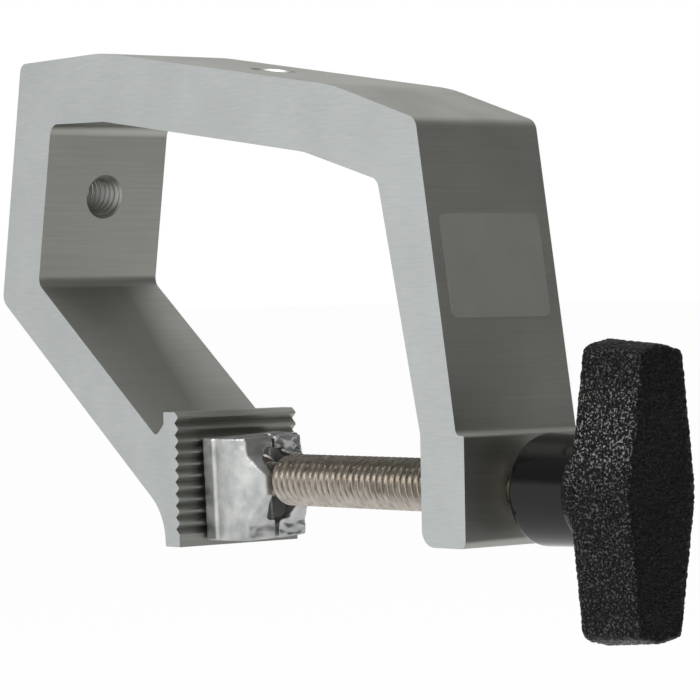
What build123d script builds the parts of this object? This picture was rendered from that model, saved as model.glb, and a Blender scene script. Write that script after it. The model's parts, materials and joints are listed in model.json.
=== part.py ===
from build123d import *

import os
from math import atan, cos, degrees, pi, radians, sin

# A gunwale c-clamp: a slice of aluminium extrusion that hooks over a boat's gunwale,
# and a clamp screw that closes a swivel pad on the serrated jaw.
# Millimetres. X runs from the jaw out to the knob, Y along the extrusion, Z is up.
# The origin is on the screw's axis, at the tips of the jaw's teeth, halfway along Y.

# Clamp screw, 3/8 in coarse thread, modelled at its outside diameter
SCREW_DIAMETER = 9.525
SCREW_RUNNING_GAP = 0.05
SCREW_IN_KNOB = 15.5
NECK_DIAMETER = 6.4
NECK_LENGTH = 7.6
BUTTON_DIAMETER = 9.2
BUTTON_THICKNESS = 3.4
SCREW_END_CHAMFER = 0.7

# Frame, a slice across the extrusion
SLICE = 28.6
OPENING = 66.7
JAW_THICKNESS = 4.2
JAW_ABOVE = 12.7
JAW_BELOW = 12.3
TOOTH_PITCH = 2.185
TOOTH_DEPTH = 0.95
TOOTH_LAND = 0.35
GROOVE_WIDTH = 2.3
GROOVE_RADIUS = 1.2
ARM_THICKNESS = 9.9
ARM_ANGLE = 38.9
ARM_REACH = 54.2
ARM_DROP = 6.45
ARM_FILLET = 10.6
WALL_THICKNESS = 11.2
WALL_LEAN = 9.1
APEX_X = -20.7
APEX_Z = 80.4
TOP_THICKNESS = 13.0
TOP_LEFT_SLOPE = 1.4
TOP_LEFT_INNER_SLOPE = -0.8
TOP_SLOPE = 8.33
TOP_INNER_SLOPE = 7.93
KNEE_X = 45.0
KNEE_SLOPE = 17.5
KNEE_INNER_SLOPE = 16.05
KNEE_INNER_X = 37.2
LEG_LEAN = 9.27
LEG_INNER_LEAN = 12.7
LEG_FOOT = 9.0
BLOCK_THICKNESS = 10.95
BLOCK_ABOVE = 9.6
BLOCK_BELOW = 9.65
OUTER_RADIUS = 2.6
TOP_CORNER_RADIUS = 1.8
INNER_RADIUS = 2.3
SOFT_RADIUS = 38.0
SOFT_INNER_RADIUS = 19.0
BLOCK_STEP_RADIUS = 1.2
BLOCK_INNER_RADIUS = 3.0
BLOCK_OUTER_RADIUS = 1.4
SMALL_RADIUS = 0.4
JAW_TOP_RADIUS = 0.2
CUT_OVERSHOOT = 2.0

# Tapped holes for what the clamp carries, 5/16 in coarse thread at its outside diameter
TAPPED_DIAMETER = 7.94
TAPPED_CHAMFER = 0.35
TOP_HOLE_X = 12.3
WALL_HOLE_Z = 53.9

# Swivel pad, a short slice of channel on the screw's button
PAD_GAP = 0.5
PAD_HEIGHT = 19.0
PAD_SAG = 1.45
PAD_BASE = 3.0
PAD_THICKNESS = 13.9
PAD_HALF_WIDTH = 8.7
PAD_LIP_HALF_WIDTH = 5.2
PAD_EDGE_STEP = 0.25
LIP_THICKNESS = 2.5
SLOT_GAP = 0.45
BUTTON_SIDE_GAP = 0.4
BUTTON_END_GAP = 0.15
CRUSH_FLAT = 2.6
CRUSH_DEPTH = 3.9
CRUSH_NIP = 1.3
CRUSH_LOW_LEAN = 0.4
CRUSH_LOW_EDGE = 3.0
CRUSH_TOP_LEAN = 0.6
CRUSH_TOP_EDGE = 3.2
PAD_BULGE = 0.75
PAD_BULGE_SHIFT = 0.2

# Knob, a moulded tee handle with a round hub
KNOB_CLEAR_OF_BLOCK = 5.5
HUB_RADIUS = 9.7
HUB_DRAFT = 0.35
HUB_LENGTH = 13.7
HUB_EDGE_RADIUS = 0.7
KNOB_BORE_GAP = 0.02
HANDLE_THICKNESS = 13.6
HANDLE_LENGTH = 52.0
HANDLE_WIDTH = 18.6
HANDLE_END_WIDTH = 11.8
HANDLE_CROWN = 1.3
HANDLE_DRAFT = 1.05
HANDLE_WAIST_RADIUS = 26.0
HANDLE_EDGE_RADIUS = 1.0
HANDLE_CORNER_RADIUS = 2.2
HANDLE_CROWN_RADIUS = 6.0
HANDLE_TURN = -1.5
HUB_IN_HANDLE = 1.0

# Clear sticker on the leg
STICKER_WIDTH = 23.4
STICKER_HEIGHT = 18.2
STICKER_RISE = 29.3
STICKER_THICKNESS = 0.15
STICKER_CORNER = 1.5


def crossing(first, first_angle, second, second_angle):
    """Gives the point where two lines meet, each through a point at an angle in degrees."""
    a, b = radians(first_angle), radians(second_angle)
    dx, dz = second[0] - first[0], second[1] - first[1]
    along = (dx * sin(b) - dz * cos(b)) / (cos(a) * sin(b) - sin(a) * cos(b))
    return first[0] + along * cos(a), first[1] + along * sin(a)


def beside(point, angle, distance):
    """Gives the point at a distance to the right of a line's direction."""
    a = radians(angle)
    return point[0] + distance * sin(a), point[1] - distance * cos(a)


def frame_corners():
    """Works out the corners of the frame's outline from its walls, slopes and leans."""
    leg = 90 + LEG_LEAN
    leg_inner = 90 + LEG_INNER_LEAN
    wall = 90 - WALL_LEAN
    arm = 180 - ARM_ANGLE
    block_top = (OPENING + LEG_FOOT, BLOCK_ABOVE)
    apex = (APEX_X, APEX_Z)
    knee = crossing(apex, -TOP_SLOPE, (KNEE_X, 0), 90)
    shoulder = crossing(knee, -KNEE_SLOPE, block_top, leg)
    arm_root = (-JAW_THICKNESS, -ARM_DROP)
    heel = crossing(arm_root, arm, (-ARM_REACH, 0), 90)
    top_left = crossing(heel, wall, apex, TOP_LEFT_SLOPE)
    inner_apex = (APEX_X, APEX_Z - TOP_THICKNESS)
    inner_knee = crossing(inner_apex, -TOP_INNER_SLOPE, (KNEE_INNER_X, 0), 90)
    inner_shoulder = crossing(
        inner_knee, -KNEE_INNER_SLOPE, (OPENING, BLOCK_ABOVE), leg_inner
    )
    wall_inner = beside(heel, wall, WALL_THICKNESS)
    arm_inner = beside(arm_root, arm, ARM_THICKNESS)
    inner_heel = crossing(wall_inner, wall, arm_inner, arm)
    inner_top_left = crossing(wall_inner, wall, inner_apex, TOP_LEFT_INNER_SLOPE)
    groove = crossing(arm_inner, arm, (-JAW_THICKNESS - GROOVE_WIDTH, 0), 90)
    return {
        "top_left": top_left,
        "apex": apex,
        "knee": knee,
        "shoulder": shoulder,
        "step": block_top,
        "heel": heel,
        "arm_root": arm_root,
        "inner_apex": inner_apex,
        "inner_knee": inner_knee,
        "inner_shoulder": inner_shoulder,
        "inner_heel": inner_heel,
        "inner_top_left": inner_top_left,
        "groove": groove,
    }


def tooth_points():
    """Gives the serrated face from its top corner down to its bottom tip, grooves cut into it."""
    half_land = TOOTH_LAND / 2
    points = [(-TOOTH_DEPTH, JAW_ABOVE)]
    z = JAW_ABOVE - TOOTH_DEPTH
    while z - TOOTH_PITCH > -JAW_BELOW + half_land:
        points.append((0, z + half_land))
        points.append((0, z - half_land))
        points.append((-TOOTH_DEPTH, z - TOOTH_PITCH / 2))
        z -= TOOTH_PITCH
    points.append((0, z + half_land))
    points.append((0, -JAW_BELOW))
    return points


def frame_outline():
    """Gives the frame's whole outline as corners with the radius of each."""
    c = frame_corners()
    outer_face = OPENING + BLOCK_THICKNESS
    outline = [
        (c["top_left"], TOP_CORNER_RADIUS),
        (c["apex"], SOFT_RADIUS),
        (c["knee"], SOFT_RADIUS),
        (c["shoulder"], OUTER_RADIUS),
        (c["step"], BLOCK_STEP_RADIUS),
        ((outer_face, BLOCK_ABOVE), SMALL_RADIUS),
        ((outer_face, -BLOCK_BELOW), BLOCK_OUTER_RADIUS),
        ((OPENING, -BLOCK_BELOW), BLOCK_INNER_RADIUS),
        ((OPENING, BLOCK_ABOVE), 0),
        (c["inner_shoulder"], INNER_RADIUS),
        (c["inner_knee"], SOFT_INNER_RADIUS),
        (c["inner_apex"], SOFT_INNER_RADIUS),
        (c["inner_top_left"], INNER_RADIUS),
        (c["inner_heel"], INNER_RADIUS),
        (c["groove"], GROOVE_RADIUS),
        ((-JAW_THICKNESS, c["groove"][1] + GROOVE_WIDTH), SMALL_RADIUS),
        ((-JAW_THICKNESS, JAW_ABOVE), JAW_TOP_RADIUS),
    ]
    outline += [(point, 0) for point in tooth_points()]
    outline += [
        ((-JAW_THICKNESS, -JAW_BELOW), SMALL_RADIUS),
        (c["arm_root"], ARM_FILLET),
        (c["heel"], OUTER_RADIUS),
    ]
    return outline


def tapped_hole(mouth, direction, depth):
    """Cuts a hole with a small chamfer at its mouth, running from the mouth along a direction."""
    radius = TAPPED_DIAMETER / 2
    plane = Plane(origin=mouth, z_dir=direction)
    run = Pos(0, 0, depth / 2) * Cylinder(radius, depth + 2 * CUT_OVERSHOOT)
    lead = Pos(0, 0, TAPPED_CHAMFER / 2) * Cone(
        radius + TAPPED_CHAMFER, radius, TAPPED_CHAMFER
    )
    return plane.location * (run + lead)


def hole_places():
    """Gives the mouth and direction of each tapped hole, square to the face that it enters."""
    c = frame_corners()
    slope, lean = radians(TOP_SLOPE), radians(WALL_LEAN)
    top_x, top_z = crossing(c["apex"], -TOP_SLOPE, (TOP_HOLE_X, 0), 90)
    wall_x, wall_z = crossing(c["inner_heel"], 90 - WALL_LEAN, (0, WALL_HOLE_Z), 0)
    return {
        "top": (Vector(top_x, 0, top_z), Vector(-sin(slope), 0, -cos(slope))),
        "wall": (Vector(wall_x, 0, wall_z), Vector(-cos(lean), 0, sin(lean))),
    }


def make_frame():
    """Makes the c-shaped frame: the extrusion's section, sawn to length, drilled and tapped."""
    outline = frame_outline()
    with BuildPart() as slab:
        with BuildSketch(Plane.XZ):
            with BuildLine():
                FilletPolyline(
                    *[point for point, _ in outline],
                    radius=[radius for _, radius in outline],
                    close=True,
                )
            make_face()
        extrude(amount=SLICE / 2, both=True)
    frame = slab.part
    bore = Pos(OPENING + BLOCK_THICKNESS / 2, 0, 0) * Rot(0, 90, 0) * Cylinder(
        SCREW_DIAMETER / 2 + SCREW_RUNNING_GAP, BLOCK_THICKNESS + CUT_OVERSHOOT
    )
    frame -= bore
    places = hole_places()
    frame -= tapped_hole(*places["top"], TOP_THICKNESS)
    frame -= tapped_hole(*places["wall"], WALL_THICKNESS)
    return frame


def button_face_x():
    """Gives where the screw's end bears on the pad's base."""
    return PAD_GAP + PAD_BASE + BUTTON_END_GAP


def hub_face_x():
    """Gives the hub's open end, which stands clear of the block."""
    return OPENING + BLOCK_THICKNESS + KNOB_CLEAR_OF_BLOCK


def turned(profile):
    """Turns a closed outline of (x, radius) points about the X axis."""
    with BuildPart() as part:
        with BuildSketch(Plane.XY):
            with BuildLine():
                Polyline(*profile, close=True)
            make_face()
        revolve(axis=Axis.X)
    return part.part


def make_clamp_screw():
    """Makes the clamp screw: button, neck and a long thread that ends inside the knob."""
    start = button_face_x()
    neck = start + BUTTON_THICKNESS
    thread = neck + NECK_LENGTH
    end = hub_face_x() + SCREW_IN_KNOB
    radius, chamfer = SCREW_DIAMETER / 2, SCREW_END_CHAMFER
    return turned(
        [
            (start, 0),
            (start, BUTTON_DIAMETER / 2 - chamfer),
            (start + chamfer, BUTTON_DIAMETER / 2),
            (neck, BUTTON_DIAMETER / 2),
            (neck, NECK_DIAMETER / 2),
            (thread, NECK_DIAMETER / 2),
            (thread, radius - chamfer),
            (thread + chamfer, radius),
            (end - chamfer, radius),
            (end, radius - chamfer),
            (end, 0),
        ]
    )


def pad_section():
    """Gives the channel's outside, from its flat base in to its rounded shoulders."""
    back = PAD_GAP + PAD_BASE
    lip = PAD_GAP + PAD_THICKNESS
    side = PAD_HALF_WIDTH
    inner = side - PAD_EDGE_STEP
    bulge = ((back + lip) / 2 - PAD_BULGE_SHIFT, (inner + PAD_LIP_HALF_WIDTH) / 2 + PAD_BULGE)
    with BuildSketch(Plane.XY) as section:
        with BuildLine():
            Polyline((PAD_GAP, -side), (PAD_GAP, side), (back, side), (back, inner))
            ThreePointArc((back, inner), bulge, (lip, PAD_LIP_HALF_WIDTH))
            Line((lip, PAD_LIP_HALF_WIDTH), (lip, -PAD_LIP_HALF_WIDTH))
            ThreePointArc(
                (lip, -PAD_LIP_HALF_WIDTH), (bulge[0], -bulge[1]), (back, -inner)
            )
            Polyline((back, -inner), (back, -side), (PAD_GAP, -side))
        make_face()
    return section.sketch


def pad_side(drop, start):
    """Gives the side view of the crushed channel, humped where the lips were left standing."""
    top, low = PAD_HEIGHT / 2 - PAD_SAG, -PAD_HEIGHT / 2 - PAD_SAG
    crest = PAD_GAP + PAD_THICKNESS - drop
    sunk = crest - CRUSH_DEPTH
    return Plane.XZ * make_face(
        Polyline(
            (start, low - CUT_OVERSHOOT),
            (sunk, low - CUT_OVERSHOOT),
            (sunk + CRUSH_LOW_LEAN, low + CRUSH_LOW_EDGE),
            (crest, -CRUSH_FLAT),
            (crest, CRUSH_FLAT / 2),
            (sunk + CRUSH_TOP_LEAN, top - CRUSH_TOP_EDGE),
            (sunk, top + CUT_OVERSHOOT),
            (start, top + CUT_OVERSHOOT),
            close=True,
        )
    )


def make_swivel_pad():
    """Makes the pad: a channel slice whose lips are crushed at both ends to keep the button in."""
    middle = -PAD_SAG
    body = Pos(0, 0, middle) * extrude(pad_section(), PAD_HEIGHT / 2, both=True)
    body &= extrude(pad_side(0, PAD_GAP - CUT_OVERSHOOT), PAD_HALF_WIDTH + CUT_OVERSHOOT, both=True)
    back = PAD_GAP + PAD_BASE
    pocket_half = BUTTON_DIAMETER / 2 + BUTTON_SIDE_GAP
    body -= extrude(pad_side(LIP_THICKNESS, back), pocket_half, both=True)
    slot_half = NECK_DIAMETER / 2 + SLOT_GAP
    reach = PAD_THICKNESS + CUT_OVERSHOOT
    slot_x = back + reach / 2
    free = 2 * CRUSH_FLAT + PAD_SAG + NECK_DIAMETER
    body -= Pos(slot_x, 0, -PAD_SAG / 2) * Box(reach, 2 * slot_half, free)
    nipped = slot_half - CRUSH_NIP
    body -= Pos(slot_x, 0, middle) * Box(reach, 2 * nipped, PAD_HEIGHT + CUT_OVERSHOOT)
    return body


def handle_outline():
    """Gives the handle seen along the screw: widest at the waist, narrow crowned ends."""
    end = HANDLE_LENGTH / 2
    corner = end - HANDLE_CROWN
    points = [(HANDLE_WIDTH / 2, 0), (HANDLE_END_WIDTH / 2, corner), (0, end)]
    points += [(-HANDLE_END_WIDTH / 2, corner)]
    points += [(-y, -z) for y, z in points]
    radii = [HANDLE_WAIST_RADIUS, HANDLE_CORNER_RADIUS, HANDLE_CROWN_RADIUS, HANDLE_CORNER_RADIUS]
    return points, radii * 2


def make_knob():
    """Makes the moulded knob: a tee handle with drafted sides, and the hub that holds the screw."""
    face = hub_face_x()
    inner = face + HUB_LENGTH
    points, radii = handle_outline()
    taper = degrees(atan(HANDLE_DRAFT / HANDLE_THICKNESS))
    with BuildPart() as handle:
        with BuildSketch(Plane(origin=(inner, 0, 0), x_dir=(0, 1, 0), z_dir=(1, 0, 0))):
            with BuildLine():
                FilletPolyline(*points, radius=radii, close=True)
            make_face()
        extrude(amount=HANDLE_THICKNESS, taper=taper)
        ends = handle.faces().filter_by(Axis.X)
        fillet(ends.edges(), HANDLE_EDGE_RADIUS)
    tee = Rot(HANDLE_TURN, 0, 0) * handle.part
    edge = HUB_EDGE_RADIUS
    root = HUB_RADIUS - HUB_DRAFT
    with BuildPart() as hub:
        with BuildSketch(Plane.XY):
            with BuildLine():
                Polyline((face, 0), (face, HUB_RADIUS - edge))
                ThreePointArc(
                    (face, HUB_RADIUS - edge),
                    (face + edge * (1 - cos(pi / 4)), HUB_RADIUS - edge * (1 - sin(pi / 4))),
                    (face + edge, HUB_RADIUS),
                )
                Polyline((face + edge, HUB_RADIUS), (inner + HUB_IN_HANDLE, root), (inner + HUB_IN_HANDLE, 0), (face, 0))
            make_face()
        revolve(axis=Axis.X)
    knob = tee + hub.part
    bore_radius = SCREW_DIAMETER / 2 + KNOB_BORE_GAP
    depth = SCREW_IN_KNOB + KNOB_BORE_GAP
    knob -= Pos(face + depth / 2, 0, 0) * Rot(0, 90, 0) * Cylinder(bore_radius, depth)
    return knob


def make_sticker():
    """Makes the clear sticker on the leg's outer face."""
    lean = radians(LEG_LEAN)
    foot = Vector(OPENING + LEG_FOOT, 0, BLOCK_ABOVE)
    up = Vector(-sin(lean), 0, cos(lean))
    out = Vector(cos(lean), 0, sin(lean))
    plane = Plane(origin=foot + up * STICKER_RISE, x_dir=(0, 1, 0), z_dir=out)
    sheet = RectangleRounded(STICKER_WIDTH, STICKER_HEIGHT, STICKER_CORNER)
    return extrude(plane * sheet, STICKER_THICKNESS)


def main():
    """Writes each piece to its own file."""
    os.makedirs("parts", exist_ok=True)
    pieces = {
        "frame": make_frame(),
        "clamp_screw": make_clamp_screw(),
        "swivel_pad": make_swivel_pad(),
        "knob": make_knob(),
        "sticker": make_sticker(),
    }
    for name, piece in pieces.items():
        piece.label = name
        export_step(piece, f"parts/{name}.step")
    for name, (mouth, direction) in hole_places().items():
        print(name, "hole mouth", mouth, "direction", direction)


if __name__ == "__main__":
    main()
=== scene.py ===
import json
from math import cos, radians, sin, tau

import bmesh
import bpy
from mathutils import Matrix, Vector, noise


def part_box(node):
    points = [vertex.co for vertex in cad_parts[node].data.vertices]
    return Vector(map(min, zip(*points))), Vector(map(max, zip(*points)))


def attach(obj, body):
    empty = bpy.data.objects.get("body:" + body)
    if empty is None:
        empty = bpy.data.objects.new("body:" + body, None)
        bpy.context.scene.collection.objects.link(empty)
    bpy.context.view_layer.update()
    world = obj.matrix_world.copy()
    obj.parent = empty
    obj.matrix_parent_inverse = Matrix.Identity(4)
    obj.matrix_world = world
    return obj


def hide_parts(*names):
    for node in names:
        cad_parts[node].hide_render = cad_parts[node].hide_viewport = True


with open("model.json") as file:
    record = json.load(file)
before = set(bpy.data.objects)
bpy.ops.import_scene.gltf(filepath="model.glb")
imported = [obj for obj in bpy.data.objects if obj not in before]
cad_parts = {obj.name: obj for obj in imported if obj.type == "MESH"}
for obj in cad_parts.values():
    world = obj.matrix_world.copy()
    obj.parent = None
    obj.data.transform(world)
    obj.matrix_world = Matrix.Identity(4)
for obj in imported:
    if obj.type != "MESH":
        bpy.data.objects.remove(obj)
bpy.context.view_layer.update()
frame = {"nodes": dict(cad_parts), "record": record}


# Frame: one slice of an aluminium extrusion, sawn to length, then drilled and tapped.
# Its drawn faces keep the fine lines of the die, and the saw leaves its two cut faces paler.
# It is the CAD solid, finished here, and everything else hangs from it.
MM = 0.001
# How many draw lines and saw arcs there are to a metre: they lie 0.3 and 0.4 mm apart.
DRAW_LINES = 3300
SAW_ARCS = 2600
SAW_LEAN = 0.35
# A face counts as sawn where its normal is within about 22 degrees of the draw.
SAWN_FACING = 0.93


def linear(hex_colour):
    """Turns an sRGB hex colour into the linear colour that a shader takes."""
    parts = [int(hex_colour[i : i + 2], 16) / 255 for i in (1, 3, 5)]
    return tuple(p / 12.92 if p <= 0.04045 else ((p + 0.055) / 1.055) ** 2.4 for p in parts) + (1.0,)


def add(tree, kind, inputs=None, **settings):
    """Adds one node with its settings, and sets or links its inputs."""
    node = tree.nodes.new(kind)
    for name, value in settings.items():
        setattr(node, name, value)
    for key, value in (inputs or {}).items():
        if isinstance(value, bpy.types.NodeSocket):
            tree.links.new(value, node.inputs[key])
        else:
            node.inputs[key].default_value = value
    return node


def blank_material(name):
    """Starts a material whose node tree is empty."""
    material = bpy.data.materials.new(name)
    material.use_nodes = True
    material.node_tree.nodes.clear()
    return material, material.node_tree


def mill_aluminium():
    """Mill-finish extruded aluminium: dull grey with lines along the draw, and pale sawn ends."""
    material, tree = blank_material("mill_finish_extruded_aluminium")
    place = add(tree, "ShaderNodeTexCoord")
    normal = add(tree, "ShaderNodeSeparateXYZ", {0: place.outputs["Normal"]})
    facing = add(tree, "ShaderNodeMath", {0: normal.outputs["Y"]}, operation="ABSOLUTE")
    sawn = add(tree, "ShaderNodeMath", {0: facing.outputs[0], 1: SAWN_FACING},
               operation="GREATER_THAN")
    # Draw lines run nearly the whole depth of the slice.
    lines_at = add(tree, "ShaderNodeMapping", {0: place.outputs["Object"],
                                               3: (DRAW_LINES, 40, DRAW_LINES)})
    lines = add(tree, "ShaderNodeTexNoise", {"Vector": lines_at.outputs[0], "Scale": 1.0,
                                             "Detail": 3.0, "Roughness": 0.6})
    # The saw's arcs are nearly straight across the section and lean by about 20 degrees.
    saw_at = add(tree, "ShaderNodeMapping", {0: place.outputs["Object"], 2: (0, SAW_LEAN, 0),
                                             3: (260, 200, SAW_ARCS)})
    saw = add(tree, "ShaderNodeTexNoise", {"Vector": saw_at.outputs[0], "Scale": 1.0,
                                           "Detail": 4.0, "Roughness": 0.65})
    # Stains are about 14 mm across, and small nicks lie about 5 mm apart.
    blotch = add(tree, "ShaderNodeTexNoise", {"Vector": place.outputs["Object"], "Scale": 70.0,
                                              "Detail": 3.0, "Roughness": 0.5})
    nicks = add(tree, "ShaderNodeTexVoronoi", {"Vector": place.outputs["Object"], "Scale": 210.0,
                                               "Randomness": 1.0}, feature="F1")
    nick = add(tree, "ShaderNodeMapRange", {0: nicks.outputs["Distance"], 1: 0.03, 2: 0.1,
                                            3: 1.0, 4: 0.0})
    drawn_ramp = add(tree, "ShaderNodeValToRGB", {0: lines.outputs[0]})
    drawn_ramp.color_ramp.elements[0].position = 0.3
    drawn_ramp.color_ramp.elements[0].color = linear("#A1A29C")
    drawn_ramp.color_ramp.elements[1].position = 0.72
    drawn_ramp.color_ramp.elements[1].color = linear("#AAABA5")
    sawn_ramp = add(tree, "ShaderNodeValToRGB", {0: saw.outputs[0]})
    sawn_ramp.color_ramp.elements[0].position = 0.28
    sawn_ramp.color_ramp.elements[0].color = linear("#B3B7B7")
    sawn_ramp.color_ramp.elements[1].position = 0.7
    sawn_ramp.color_ramp.elements[1].color = linear("#BDC0BF")
    colour = add(tree, "ShaderNodeMix", {0: sawn.outputs[0], 6: drawn_ramp.outputs[0],
                                         7: sawn_ramp.outputs[0]}, data_type="RGBA")
    stain = add(tree, "ShaderNodeMapRange", {0: blotch.outputs[0], 1: 0.3, 2: 0.7, 3: 0.95, 4: 1.03})
    stained = add(tree, "ShaderNodeVectorMath", {0: colour.outputs[2], 3: stain.outputs[0]},
                  operation="SCALE")
    rough_drawn = add(tree, "ShaderNodeMapRange", {0: blotch.outputs[0], 1: 0.3, 2: 0.7,
                                                   3: 0.42, 4: 0.47})
    rough = add(tree, "ShaderNodeMix", {0: sawn.outputs[0], 2: rough_drawn.outputs[0], 3: 0.52})
    height = add(tree, "ShaderNodeMix", {0: sawn.outputs[0], 2: lines.outputs[0], 3: saw.outputs[0]})
    dented = add(tree, "ShaderNodeMath", {0: height.outputs[0], 1: nick.outputs[0]},
                 operation="SUBTRACT")
    bump = add(tree, "ShaderNodeBump", {"Strength": 0.14, "Distance": 0.00004,
                                        "Height": dented.outputs[0]})
    metal = add(tree, "ShaderNodeBsdfPrincipled", {"Base Color": stained.outputs[0],
                                                   "Metallic": 1.0, "Roughness": rough.outputs[0],
                                                   "Normal": bump.outputs[0]})
    add(tree, "ShaderNodeOutputMaterial", {0: metal.outputs[0]})
    return material


def finish_cad(node, material):
    """Gives a CAD node its material."""
    mesh = frame["nodes"][node].data
    mesh.materials.clear()
    mesh.materials.append(material)


extrusion = mill_aluminium()
finish_cad("frame", extrusion)


# Clamp screw: a stainless 3/8 in screw with a rolled thread, 16 to the inch.
# Its inner end is turned down to a neck and a button that the pad's lips hold, and its
# outer end is moulded into the knob.
THREAD_PITCH = 1.5875 * MM
SCREW_CREST = 4.7625 * MM
SCREW_ROOT = 3.86 * MM
# The flats that a thread has at its root and crest, as shares of the pitch.
ROOT_FLAT, CREST_FLAT = 0.25, 0.125
SCREW_STEPS = 56


def stainless_steel():
    """Dull stainless steel with a rolled thread: a warm grey, smeared along the helix."""
    material, tree = blank_material("rolled_stainless_steel")
    place = add(tree, "ShaderNodeTexCoord")
    smear_at = add(tree, "ShaderNodeMapping", {0: place.outputs["Object"], 3: (2600, 500, 500)})
    smear = add(tree, "ShaderNodeTexNoise", {"Vector": smear_at.outputs[0], "Scale": 1.0,
                                             "Detail": 3.0})
    tint = add(tree, "ShaderNodeValToRGB", {0: smear.outputs[0]})
    tint.color_ramp.elements[0].position = 0.3
    tint.color_ramp.elements[0].color = linear("#989189")
    tint.color_ramp.elements[1].position = 0.75
    tint.color_ramp.elements[1].color = linear("#C9C2B9")
    rough = add(tree, "ShaderNodeMapRange", {0: smear.outputs[0], 1: 0.3, 2: 0.7, 3: 0.2, 4: 0.34})
    bump = add(tree, "ShaderNodeBump", {"Strength": 0.2, "Distance": 0.00003,
                                        "Height": smear.outputs[0]})
    metal = add(tree, "ShaderNodeBsdfPrincipled", {"Base Color": tint.outputs[0], "Metallic": 1.0,
                                                   "Roughness": rough.outputs[0],
                                                   "Normal": bump.outputs[0]})
    add(tree, "ShaderNodeOutputMaterial", {0: metal.outputs[0]})
    return material


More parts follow.
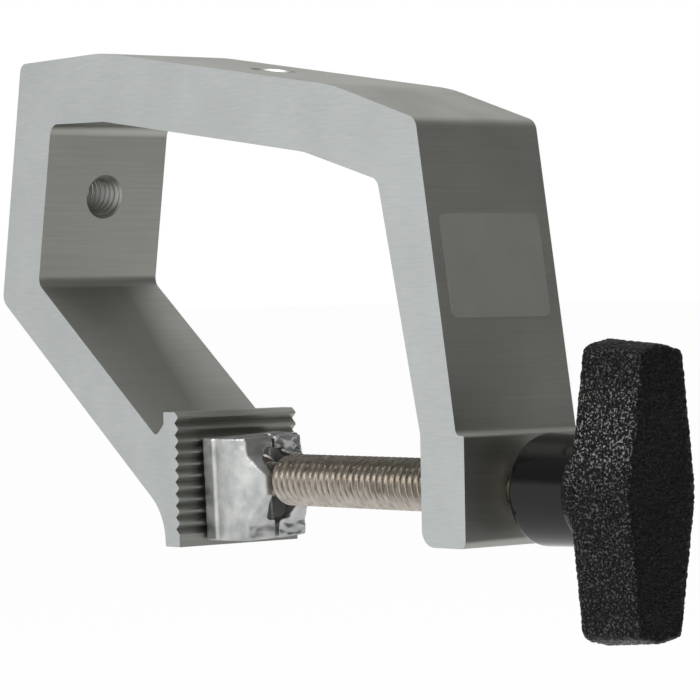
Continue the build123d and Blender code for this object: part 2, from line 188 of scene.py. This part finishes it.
def thread_tree():
    """Builds the thread: a grid wound into a right-hand helix, with a vee cut along it.
    At both ends the thread runs out to the end radius."""
    tree = bpy.data.node_groups.new("wound_thread", "GeometryNodeTree")
    sockets = tree.interface
    sockets.new_socket(name="Thread", in_out="OUTPUT", socket_type="NodeSocketGeometry")
    for name in ("Start", "Length", "Pitch", "Crest Radius", "Root Radius", "End Radius"):
        sockets.new_socket(name=name, in_out="INPUT", socket_type="NodeSocketFloat")
    for name in ("Turns", "Steps Per Turn", "Steps Around"):
        sockets.new_socket(name=name, in_out="INPUT", socket_type="NodeSocketInt")
    sockets.new_socket(name="Material", in_out="INPUT", socket_type="NodeSocketMaterial")
    given = add(tree, "NodeGroupInput").outputs
    rows = add(tree, "ShaderNodeMath", {0: given["Turns"], 1: given["Steps Per Turn"], 2: 1.0},
               operation="MULTIPLY_ADD")
    columns = add(tree, "ShaderNodeMath", {0: given["Steps Around"], 1: 1.0}, operation="ADD")
    grid = add(tree, "GeometryNodeMeshGrid", {"Size X": 1.0, "Size Y": 1.0,
                                              "Vertices X": rows.outputs[0],
                                              "Vertices Y": columns.outputs[0]})
    spot = add(tree, "ShaderNodeSeparateXYZ", {0: add(tree, "GeometryNodeInputPosition").outputs[0]})
    share = add(tree, "ShaderNodeMath", {0: spot.outputs["Y"], 1: 0.5}, operation="ADD")
    angle = add(tree, "ShaderNodeMath", {0: share.outputs[0], 1: tau}, operation="MULTIPLY")
    row = add(tree, "ShaderNodeMath", {0: spot.outputs["X"], 1: 0.5}, operation="ADD")
    turn = add(tree, "ShaderNodeMath", {0: row.outputs[0], 1: given["Turns"], 2: -1.0},
               operation="MULTIPLY_ADD")
    wound = add(tree, "ShaderNodeMath", {0: turn.outputs[0], 1: share.outputs[0]}, operation="ADD")
    free = add(tree, "ShaderNodeMath", {0: wound.outputs[0], 1: given["Pitch"]},
               operation="MULTIPLY")
    along = add(tree, "ShaderNodeClamp", {0: free.outputs[0], 1: 0.0, 2: given["Length"]})
    # Eight whole turns more keep the value that the vee repeats on above zero.
    phase = add(tree, "ShaderNodeMath", {0: turn.outputs[0], 1: 8.0}, operation="ADD")
    part = add(tree, "ShaderNodeMath", {0: phase.outputs[0]}, operation="FRACT")
    centred = add(tree, "ShaderNodeMath", {0: part.outputs[0], 1: 0.5}, operation="SUBTRACT")
    flank = add(tree, "ShaderNodeMath", {0: centred.outputs[0]}, operation="ABSOLUTE")
    vee = add(tree, "ShaderNodeMapRange", {0: flank.outputs[0], 1: ROOT_FLAT / 2,
                                           2: 0.5 - CREST_FLAT / 2, 3: 0.0, 4: 1.0})
    depth = add(tree, "ShaderNodeMath", {0: given["Crest Radius"], 1: given["Root Radius"]},
                operation="SUBTRACT")
    cut = add(tree, "ShaderNodeMath", {0: depth.outputs[0], 1: vee.outputs[0],
                                       2: given["Root Radius"]}, operation="MULTIPLY_ADD")
    off_end = add(tree, "ShaderNodeMath", {0: cut.outputs[0], 1: given["End Radius"]},
                  operation="SUBTRACT")
    left = add(tree, "ShaderNodeMath", {0: given["Length"], 1: along.outputs[0]},
               operation="SUBTRACT")
    near = add(tree, "ShaderNodeMath", {0: along.outputs[0], 1: left.outputs[0]},
               operation="MINIMUM")
    under = add(tree, "ShaderNodeMath", {0: near.outputs[0], 1: -1.0}, operation="MULTIPLY")
    most = add(tree, "ShaderNodeMath", {0: off_end.outputs[0], 1: near.outputs[0]},
               operation="MINIMUM")
    held = add(tree, "ShaderNodeMath", {0: most.outputs[0], 1: under.outputs[0]},
               operation="MAXIMUM")
    radius = add(tree, "ShaderNodeMath", {0: held.outputs[0], 1: given["End Radius"]},
                 operation="ADD")
    cosine = add(tree, "ShaderNodeMath", {0: angle.outputs[0]}, operation="COSINE")
    sine = add(tree, "ShaderNodeMath", {0: angle.outputs[0]}, operation="SINE")
    y = add(tree, "ShaderNodeMath", {0: radius.outputs[0], 1: cosine.outputs[0]},
            operation="MULTIPLY")
    z = add(tree, "ShaderNodeMath", {0: radius.outputs[0], 1: sine.outputs[0]},
            operation="MULTIPLY")
    x = add(tree, "ShaderNodeMath", {0: given["Start"], 1: along.outputs[0]}, operation="ADD")
    place = add(tree, "ShaderNodeCombineXYZ", {0: x.outputs[0], 1: y.outputs[0], 2: z.outputs[0]})
    moved = add(tree, "GeometryNodeSetPosition", {"Geometry": grid.outputs["Mesh"],
                                                  "Position": place.outputs[0]})
    merged = add(tree, "GeometryNodeMergeByDistance", {"Geometry": moved.outputs[0],
                                                       "Distance": 0.003 * MM})
    real = add(tree, "GeometryNodeRealizeInstances", {0: merged.outputs[0]})
    dressed = add(tree, "GeometryNodeSetMaterial", {"Geometry": real.outputs[0],
                                                    "Material": given["Material"]})
    add(tree, "NodeGroupOutput", {0: dressed.outputs[0]})
    return tree


WOUND_THREAD = thread_tree()


def wound_thread(material, **sizes):
    """Runs the thread tree with these sizes and gives its plain mesh."""
    carrier = bpy.data.objects.new("thread_carrier", bpy.data.meshes.new("thread_carrier"))
    bpy.context.scene.collection.objects.link(carrier)
    modifier = carrier.modifiers.new("thread", "NODES")
    modifier.node_group = WOUND_THREAD
    for item in WOUND_THREAD.interface.items_tree:
        name = item.name.lower().replace(" ", "_")
        if item.in_out == "INPUT":
            modifier[item.identifier] = material if name == "material" else sizes[name]
    evaluated = carrier.evaluated_get(bpy.context.evaluated_depsgraph_get())
    mesh = bpy.data.meshes.new_from_object(evaluated)
    bpy.data.objects.remove(carrier)
    return mesh


def lathed(shell, profile, steps):
    """Adds a closed turned shape about X to a bmesh, from (x, radius) points in metres."""
    rings = []
    for x, radius in profile:
        if radius == 0:
            rings.append([shell.verts.new((x, 0, 0))])
        else:
            rings.append([shell.verts.new((x, radius * cos(tau * i / steps),
                                           radius * sin(tau * i / steps))) for i in range(steps)])
    for first, second in zip(rings, rings[1:]):
        for i in range(steps):
            j = (i + 1) % steps
            corners = [first[i % len(first)], first[j % len(first)],
                       second[j % len(second)], second[i % len(second)]]
            shell.faces.new(list(dict.fromkeys(corners)))


def piece(name, shell, material, sharp):
    """Makes an object of a bmesh, smooth but for edges sharper than an angle in degrees."""
    bmesh.ops.recalc_face_normals(shell, faces=shell.faces)
    mesh = bpy.data.meshes.new(name)
    shell.to_mesh(mesh)
    shell.free()
    mesh.materials.clear()
    mesh.materials.append(material)
    mesh.polygons.foreach_set("use_smooth", [True] * len(mesh.polygons))
    mesh.set_sharp_from_angle(angle=radians(sharp))
    made = bpy.data.objects.new(name, mesh)
    bpy.context.scene.collection.objects.link(made)
    return made


def make_screw(material):
    """Winds the thread and turns the neck and button in front of it."""
    low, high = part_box("clamp_screw")
    start, end = low[0], high[0]
    button, neck = 3.4 * MM, 7.6 * MM
    button_radius, neck_radius, bevel = 4.6 * MM, 3.2 * MM, 0.5 * MM
    thread_start = start + button + neck
    neck_end = thread_start + 0.5 * MM
    length = end - thread_start
    mesh = wound_thread(
        material, start=thread_start, length=length, pitch=THREAD_PITCH,
        crest_radius=SCREW_CREST, root_radius=SCREW_ROOT, end_radius=SCREW_ROOT,
        turns=int(length / THREAD_PITCH) + 3, steps_per_turn=16,
        steps_around=SCREW_STEPS,
    )
    shell = bmesh.new()
    shell.from_mesh(mesh)
    open_edges = [edge for edge in shell.edges if edge.is_boundary]
    bmesh.ops.holes_fill(shell, edges=open_edges)
    lathed(shell, [
        (start, 0), (start, button_radius - bevel), (start + bevel, button_radius),
        (start + button - bevel, button_radius), (start + button, button_radius - bevel),
        (start + button, neck_radius), (neck_end, neck_radius), (neck_end, 0),
    ], SCREW_STEPS)
    return piece("threaded_screw", shell, material, sharp=40)


stainless = stainless_steel()
threaded_screw = make_screw(stainless)
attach(threaded_screw, "screw")
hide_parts("clamp_screw")


# Threads in the two tapped holes: 5/16 in, 18 to the inch, cut into the aluminium.
# One hole is in the top bar and one in the side wall, each square to its face.
TAPPED_PITCH = 25.4 * MM / 18
TAPPED_MAJOR = 3.97 * MM
TAPPED_MINOR = 3.36 * MM
TAPPED_BACK = 4.12 * MM
# Each thread ends half of this short of both faces of the metal.
TAPPED_SHORT = 0.3 * MM


def make_tapped_thread(name, middle, axis, length):
    """Winds a thread on the wall of a hole, its back buried in the frame."""
    mesh = wound_thread(
        extrusion, start=-length / 2, length=length, pitch=TAPPED_PITCH,
        crest_radius=TAPPED_MAJOR, root_radius=TAPPED_MINOR, end_radius=TAPPED_MAJOR,
        turns=int(length / TAPPED_PITCH) + 3, steps_per_turn=10, steps_around=48,
    )
    shell = bmesh.new()
    shell.from_mesh(mesh)
    rims = [edge for edge in shell.edges if edge.is_boundary]
    made = bmesh.ops.extrude_edge_only(shell, edges=rims)["geom"]
    corners = [item for item in made if isinstance(item, bmesh.types.BMVert)]
    for corner in corners:
        out = Vector((0, corner.co.y, corner.co.z)).normalized() * TAPPED_BACK
        corner.co = Vector((corner.co.x, out.y, out.z))
    backs = [item for item in made if isinstance(item, bmesh.types.BMEdge) and item.is_boundary]
    bmesh.ops.bridge_loops(shell, edges=backs)
    turned = Vector((1, 0, 0)).rotation_difference(Vector(axis)).to_matrix().to_4x4()
    shell.transform(Matrix.Translation(middle) @ turned)
    made = piece(name, shell, extrusion, sharp=40)
    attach(made, "clamp_frame")


for hole in ("top", "wall"):
    mount = next(m for m in frame["record"]["mounts"] if m["name"] == hole + "_tapped_hole")
    make_tapped_thread(hole + "_hole_thread", Vector(mount["pos_m"]), mount["axis"],
                       mount["dims"]["length_mm"] * MM - TAPPED_SHORT)


# Swivel pad: a short slice of aluminium channel on the screw's button.
# A press has crushed the ends of its two lips over the button, which leaves folds, pits and
# bright smeared metal. The CAD solid is remeshed finely and then dented in code.
PAD_LOW, PAD_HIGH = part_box("swivel_pad")
PAD_VOXEL = 0.24 * MM
# The pad turns freely on the button, and here it has come to rest a little off square.
PAD_TURN = radians(2.2)
# What the press did is in millimetres. It fades in over the lips' height, and away from the
# pad's middle, which it left standing. It closed the lips past the neck, at their inner edges.
PAD_BASE_TOP = PAD_LOW[0] / MM + 3.4
PAD_MIDDLE = (PAD_LOW[2] + PAD_HIGH[2]) / 2 / MM
LIP_RISE = 5.0
STANDING_HALF, STANDING_FADE = 2.5, 4.0
NECK_HALF, NECK_FADE = 3.6, 1.6
LIP_EDGE, LIP_EDGE_FADE = 5.2, 2.4
CLOSED_BY = 1.9
FOLD_DEPTH, CREASE_HEIGHT, PIT_DEPTH = 0.9, 0.8, 1.7
FOLD_SHIFT, CREASE_SHIFT = 0.4, 0.35
# How ragged each lip is: the one on the +Y side at its top and its bottom, and the other one.
RAGGED_TOP, RAGGED_LOW, OTHER_RAGGED = 1.15, 0.6, 0.2


def bright_aluminium():
    """Freshly cut and pressed aluminium: bright, with fine scratches and grey blotches."""
    material, tree = blank_material("pressed_channel_aluminium")
    place = add(tree, "ShaderNodeTexCoord")
    line_at = add(tree, "ShaderNodeMapping", {0: place.outputs["Object"], 3: (2600, 2600, 120)})
    line = add(tree, "ShaderNodeTexNoise", {"Vector": line_at.outputs[0], "Scale": 1.0,
                                            "Detail": 3.0})
    blotch = add(tree, "ShaderNodeTexNoise", {"Vector": place.outputs["Object"], "Scale": 260.0,
                                              "Detail": 3.0, "Roughness": 0.5})
    tint = add(tree, "ShaderNodeValToRGB", {0: blotch.outputs[0]})
    tint.color_ramp.elements[0].position = 0.3
    tint.color_ramp.elements[0].color = linear("#9FA2A2")
    tint.color_ramp.elements[1].position = 0.68
    tint.color_ramp.elements[1].color = linear("#C9CAC8")
    rough = add(tree, "ShaderNodeMapRange", {0: blotch.outputs[0], 1: 0.3, 2: 0.7, 3: 0.34, 4: 0.5})
    bump = add(tree, "ShaderNodeBump", {"Strength": 0.4, "Distance": 0.00004,
                                        "Height": line.outputs[0]})
    metal = add(tree, "ShaderNodeBsdfPrincipled", {"Base Color": tint.outputs[0], "Metallic": 1.0,
                                                   "Roughness": rough.outputs[0],
                                                   "Normal": bump.outputs[0]})
    add(tree, "ShaderNodeOutputMaterial", {0: metal.outputs[0]})
    return material


def remeshed(node, voxel, rounds):
    """Gives a fine even copy of a CAD node's mesh, lightly smoothed, as a bmesh."""
    source = bpy.data.objects.new("fine_copy", frame["nodes"][node].data.copy())
    bpy.context.scene.collection.objects.link(source)
    weld = source.modifiers.new("weld", "WELD")
    weld.merge_threshold = 0.002 * MM
    remesh = source.modifiers.new("fine", "REMESH")
    remesh.mode = "VOXEL"
    remesh.voxel_size = voxel
    smooth = source.modifiers.new("smooth", "SMOOTH")
    smooth.factor = 0.5
    smooth.iterations = rounds
    mesh = bpy.data.meshes.new_from_object(
        source.evaluated_get(bpy.context.evaluated_depsgraph_get())
    )
    bpy.data.objects.remove(source)
    shell = bmesh.new()
    shell.from_mesh(mesh)
    return shell


def crush(point):
    """Moves a point of the pad's lips the way the press did: closed over the neck and folded.
    Folds are about 3 mm long, creases 2 mm and pits 1.4 mm."""
    x, y, z = point / MM
    outward = 1 if y > 0 else -1
    lifted = max(0.0, min(1.0, (x - PAD_BASE_TOP) / LIP_RISE))
    ends = max(0.0, min(1.0, (abs(z - PAD_MIDDLE) - STANDING_HALF) / STANDING_FADE))
    past_neck = max(0.0, min(1.0, (abs(z) - NECK_HALF) / NECK_FADE))
    inner_edge = max(0.0, min(1.0, (LIP_EDGE - abs(y)) / LIP_EDGE_FADE))
    press = lifted * ends
    ragged = (RAGGED_TOP if z > 0 else RAGGED_LOW) if y > 0 else OTHER_RAGGED
    fold = noise.noise(Vector((x * 0.34, y * 0.30, z * 0.42 + 3.0)))
    crease = abs(noise.noise(Vector((x * 0.5 + 4.0, y * 0.55, z * 0.5 + 1.0))))
    pit = max(0.0, noise.noise(Vector((x * 0.7, y * 0.75, z * 0.7 + 9.0))) - 0.2)
    dx = press * ragged * (-FOLD_DEPTH * abs(fold) + CREASE_HEIGHT * crease - PIT_DEPTH * pit)
    dy = -outward * press * (CLOSED_BY * past_neck * inner_edge * lifted
                             + CREASE_SHIFT * ragged * crease)
    dz = press * ragged * FOLD_SHIFT * fold
    return Vector((dx, dy, dz)) * MM


pressed = bright_aluminium()
pad_shell = remeshed("swivel_pad", PAD_VOXEL, rounds=4)
for corner in pad_shell.verts:
    corner.co += crush(corner.co)
pad_shell.transform(Matrix.Rotation(PAD_TURN, 4, "X"))
crushed_pad = piece("crushed_pad", pad_shell, pressed, sharp=75)
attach(crushed_pad, "pad")
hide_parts("swivel_pad")


# Knob: a tee handle and its hub, one black plastic moulding over the end of the screw.
# The mould's handle half was etched with a leather grain, and its hub half was left polished.
KNOB_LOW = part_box("knob")[0]
HUB_LENGTH = 13.7 * MM
HANDLE_FROM = KNOB_LOW[0] + HUB_LENGTH
# The hub's gloss fades out over the last millimetre before the handle.
GLOSS_TO = KNOB_LOW[0] + 12.65 * MM
GLOSS_FADE = 1.0 * MM
# The grain stands this deep in cells of about 1 mm, and the plastic is remeshed finely for it.
GRAIN_DEPTH = 0.17 * MM
GRAIN_CELLS = 0.95 / MM
GRAIN_SHARPNESS = 2.6
KNOB_VOXEL = 0.31 * MM


def black_plastic():
    """Moulded black plastic: satin on the grained handle with pale specks of painted highlight,
    glossy on the hub.
    """
    material, tree = blank_material("moulded_black_nylon")
    place = add(tree, "ShaderNodeTexCoord")
    spot = add(tree, "ShaderNodeSeparateXYZ", {0: place.outputs["Object"]})
    handle = add(tree, "ShaderNodeMapRange", {0: spot.outputs["X"], 1: GLOSS_TO,
                                              2: GLOSS_TO + GLOSS_FADE, 3: 0.0, 4: 1.0})
    # Painted highlights: pale specks about 0.4 mm across stand in for the glints on the grain, drawn
    # coarser than the real ones so that they show.
    speck = add(tree, "ShaderNodeTexNoise", {"Vector": place.outputs["Object"], "Scale": 2300.0,
                                             "Detail": 2.0, "Roughness": 0.7})
    glint_speck_mask = add(tree, "ShaderNodeMapRange", {0: speck.outputs[0], 1: 0.55, 2: 0.64,
                                                  3: 0.0, 4: 1.0})
    # Painted highlights: the specks are kept mostly to the faces that point along Y, and nearly left
    # off the faces that point along X.
    normal = add(tree, "ShaderNodeSeparateXYZ", {0: place.outputs["Normal"]})
    flank = add(tree, "ShaderNodeMath", {0: normal.outputs["Y"]}, operation="ABSOLUTE")
    side_glint_share = add(tree, "ShaderNodeMapRange", {0: flank.outputs[0], 1: 0.5, 2: 0.85,
                                              3: 0.08, 4: 1.0})
    # The painted highlight specks are strongest in a band above the handle's middle, about 4 to 18
    # mm over the screw.
    drift = add(tree, "ShaderNodeTexNoise", {"Vector": place.outputs["Object"], "Scale": 120.0,
                                             "Detail": 2.0})
    drifted = add(tree, "ShaderNodeMath", {0: drift.outputs[0], 1: 0.012, 2: spot.outputs["Z"]},
                  operation="MULTIPLY_ADD")
    level = add(tree, "ShaderNodeMapRange", {0: drifted.outputs[0], 1: -0.03, 2: 0.034})
    highlight_band_mask = add(tree, "ShaderNodeValToRGB", {0: level.outputs[0]})
    for position, share in ((0.25, 0.3), (0.56, 0.36), (0.68, 1.0), (0.8, 0.85), (0.9, 0.3)):
        stop = highlight_band_mask.color_ramp.elements.new(position)
        stop.color = (share, share, share, 1.0)
    highlight_band_mask.color_ramp.elements[0].color = (0.3, 0.3, 0.3, 1.0)
    highlight_band_mask.color_ramp.elements[-1].color = (0.25, 0.25, 0.25, 1.0)
    painted_glint_share = add(tree, "ShaderNodeMath", {0: glint_speck_mask.outputs[0], 1: highlight_band_mask.outputs[0]},
               operation="MULTIPLY")
    painted_glint_share = add(tree, "ShaderNodeMath", {0: painted_glint_share.outputs[0], 1: side_glint_share.outputs[0]},
               operation="MULTIPLY")
    painted_highlight_mask = add(tree, "ShaderNodeMath", {0: painted_glint_share.outputs[0], 1: handle.outputs[0]},
                  operation="MULTIPLY")
    # The pale grey mixed onto the black is painted highlight.
    colour = add(tree, "ShaderNodeMix", {0: painted_highlight_mask.outputs[0], 6: linear("#040404"),
                                         7: linear("#8A8A88")}, data_type="RGBA")
    rough = add(tree, "ShaderNodeMapRange", {0: handle.outputs[0], 1: 0.0, 2: 1.0,
                                             3: 0.07, 4: 0.27})
    shine = add(tree, "ShaderNodeMapRange", {0: handle.outputs[0], 1: 0.0, 2: 1.0,
                                             3: 0.3, 4: 0.14})
    # The etched grain runs in short wavy creases, 0.9 to 1.6 mm apart.
    crease_at = add(tree, "ShaderNodeMapping", {0: place.outputs["Object"], 3: (900, 620, 1150)})
    crease = add(tree, "ShaderNodeTexNoise", {"Vector": crease_at.outputs[0], "Scale": 1.0,
                                              "Detail": 3.0, "Roughness": 0.6, "Distortion": 1.2})
    relief = add(tree, "ShaderNodeMath", {0: crease.outputs[0], 1: 2.5, 2: speck.outputs[0]},
                 operation="MULTIPLY_ADD")
    bump_height = add(tree, "ShaderNodeMath", {0: relief.outputs[0], 1: handle.outputs[0]},
                      operation="MULTIPLY")
    bump = add(tree, "ShaderNodeBump", {"Strength": 1.0, "Distance": 0.0003,
                                        "Height": bump_height.outputs[0]})
    plastic = add(tree, "ShaderNodeBsdfPrincipled", {"Base Color": colour.outputs[2],
                                                     "Roughness": rough.outputs[0], "IOR": 1.5,
                                                     "Specular IOR Level": shine.outputs[0],
                                                     "Normal": bump.outputs[0]})
    add(tree, "ShaderNodeOutputMaterial", {0: plastic.outputs[0]})
    return material


def leather_grain(point):
    """Gives how far the etched grain stands proud at a point, from 0 in a crease to 1."""
    near, far = noise.voronoi(point * GRAIN_CELLS + Vector((0, 0, 7)))[0][:2]
    return min(1.0, (far - near) * GRAIN_SHARPNESS)


nylon = black_plastic()
knob_shell = remeshed("knob", KNOB_VOXEL, rounds=3)
knob_shell.normal_update()
for corner in knob_shell.verts:
    if corner.co.x > HANDLE_FROM:
        corner.co -= corner.normal * GRAIN_DEPTH * (1 - leather_grain(corner.co))
tee_knob = piece("tee_knob", knob_shell, nylon, sharp=70)
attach(tee_knob, "screw")
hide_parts("knob")


# Sticker: a bare clear film on the leg, a little greyer and glossier than the metal under it.
# It is the CAD sheet, 0.15 mm thick with rounded corners.
def clear_film():
    """Clear film over metal: the metal's grey with a gloss coat and faint ripples."""
    material, tree = blank_material("clear_vinyl_film")
    place = add(tree, "ShaderNodeTexCoord")
    ripple = add(tree, "ShaderNodeTexNoise", {"Vector": place.outputs["Object"], "Scale": 160.0,
                                              "Detail": 2.0})
    tint = add(tree, "ShaderNodeValToRGB", {0: ripple.outputs[0]})
    tint.color_ramp.elements[0].color = linear("#A2A39E")
    tint.color_ramp.elements[1].color = linear("#B0B1AC")
    bump = add(tree, "ShaderNodeBump", {"Strength": 0.15, "Distance": 0.0001,
                                        "Height": ripple.outputs[0]})
    film = add(tree, "ShaderNodeBsdfPrincipled", {"Base Color": tint.outputs[0], "Metallic": 0.85,
                                                  "Roughness": 0.4, "Coat Weight": 0.6,
                                                  "Coat Roughness": 0.15,
                                                  "Normal": bump.outputs[0]})
    add(tree, "ShaderNodeOutputMaterial", {0: film.outputs[0]})
    return material


finish_cad("sticker", clear_film())


# Studio: a white floor below the hanging clamp, a white horizon all round that darkens upwards,
# a soft lamp overhead, another in front, and a grey card off to the right behind.
FLOOR_Z = -110 * MM
FLOOR_HALF = 60.0
# The card stands on the floor, between these two places in the plan.
CARD_FRONT, CARD_BACK, CARD_TOP = (0.95, 0.05), (0.2, 0.95), 0.75
LAMP_AIM = (0.01, 0, 0.03)
LAMP_SIDE = 0.5


def studio_world():
    """Lights the scene white at the horizon and grey overhead, as a cove does."""
    world = bpy.data.worlds.new("cove")
    bpy.context.scene.world = world
    world.use_nodes = True
    tree = world.node_tree
    tree.nodes.clear()
    way = add(tree, "ShaderNodeTexCoord")
    height = add(tree, "ShaderNodeSeparateXYZ", {0: way.outputs["Generated"]})
    level = add(tree, "ShaderNodeMapRange", {0: height.outputs["Z"], 1: 0.11, 2: 0.3,
                                             3: 1.0, 4: 0.3}, interpolation_type="SMOOTHSTEP")
    light = add(tree, "ShaderNodeBackground", {0: (1, 1, 1, 1), 1: level.outputs[0]})
    add(tree, "ShaderNodeOutputWorld", {0: light.outputs[0]})


def sheet_of(name, corners, material):
    """Makes one flat stage sheet."""
    mesh = bpy.data.meshes.new(name)
    mesh.from_pydata(corners, [], [(0, 1, 2, 3)])
    mesh.materials.append(material)
    made = bpy.data.objects.new(name, mesh)
    bpy.context.scene.collection.objects.link(made)
    return made


def white_floor():
    """Matt white paint that shows white to the camera and in metal, and keeps shadows."""
    material, tree = blank_material("matt_white_floor")
    rays = add(tree, "ShaderNodeLightPath").outputs
    seen = add(tree, "ShaderNodeMath", {0: rays["Is Camera Ray"], 1: rays["Is Glossy Ray"]},
               operation="MAXIMUM")
    through = add(tree, "ShaderNodeMath", {0: seen.outputs[0], 1: rays["Is Transmission Ray"]},
                  operation="MAXIMUM")
    share = add(tree, "ShaderNodeMath", {0: through.outputs[0], 1: 0.97}, operation="MULTIPLY")
    paint = add(tree, "ShaderNodeBsdfDiffuse", {0: linear("#F6F6F5")})
    glow = add(tree, "ShaderNodeEmission", {0: (1, 1, 1, 1), 1: 1.0})
    mixed = add(tree, "ShaderNodeMixShader", {0: share.outputs[0], 1: paint.outputs[0],
                                              2: glow.outputs[0]})
    add(tree, "ShaderNodeOutputMaterial", {0: mixed.outputs[0]})
    return material


def grey_card():
    """Matt grey card, which gives the leg's outer face something darker than the cove to reflect."""
    material, tree = blank_material("matt_grey_card")
    card = add(tree, "ShaderNodeBsdfDiffuse", {0: linear("#7E7E7C")})
    add(tree, "ShaderNodeOutputMaterial", {0: card.outputs[0]})
    return material


def lamp(name, place, power):
    """Adds one soft square lamp that points at the clamp."""
    data = bpy.data.lights.new(name, "AREA")
    data.shape = "RECTANGLE"
    data.size, data.size_y, data.energy = LAMP_SIDE, LAMP_SIDE, power
    made = bpy.data.objects.new(name, data)
    bpy.context.scene.collection.objects.link(made)
    made.location = place
    made.rotation_euler = (Vector(LAMP_AIM) - Vector(place)).to_track_quat("-Z", "Y").to_euler()
    made.visible_camera = False


studio_world()
sheet_of("floor", [(-FLOOR_HALF, -FLOOR_HALF, FLOOR_Z), (FLOOR_HALF, -FLOOR_HALF, FLOOR_Z),
                   (FLOOR_HALF, FLOOR_HALF, FLOOR_Z), (-FLOOR_HALF, FLOOR_HALF, FLOOR_Z)],
         white_floor())
card = sheet_of("card", [(*CARD_FRONT, FLOOR_Z), (*CARD_BACK, FLOOR_Z),
                         (*CARD_BACK, CARD_TOP), (*CARD_FRONT, CARD_TOP)], grey_card())
card.visible_camera = False
lamp("overhead", (0.0, 0.0, 0.9), power=8.0)
lamp("front", (-0.05, -1.0, 0.5), power=6.5)

# Camera: at the photograph's angle, about 0.7 m off with a long lens. It was fitted to the
# corners, edges and thread that the photograph shows, at the size that the screw gives.
AZIMUTH, ELEVATION, ROLL = radians(48.846), radians(0.801), radians(-1.016)
CAMERA_PLACE = (0.53537, -0.43955, 0.03321)
LENS_MM, SENSOR_MM = 189.98, 36.0
back = Vector((sin(AZIMUTH) * cos(ELEVATION), -cos(AZIMUTH) * cos(ELEVATION), sin(ELEVATION)))
right = (-back).cross(Vector((0, 0, 1))).normalized()
up = right.cross(-back)
side = right * cos(ROLL) + up * sin(ROLL)
head = up * cos(ROLL) - right * sin(ROLL)
lens = bpy.data.cameras.new("camera")
lens.sensor_width = SENSOR_MM
lens.lens = LENS_MM
lens.clip_start, lens.clip_end = 0.01, 200.0
camera = bpy.data.objects.new("camera", lens)
bpy.context.scene.collection.objects.link(camera)
turn = Matrix((side, head, back)).transposed().to_4x4()
camera.matrix_world = Matrix.Translation(CAMERA_PLACE) @ turn
bpy.context.scene.camera = camera
bpy.context.scene.view_settings.view_transform = "Standard"
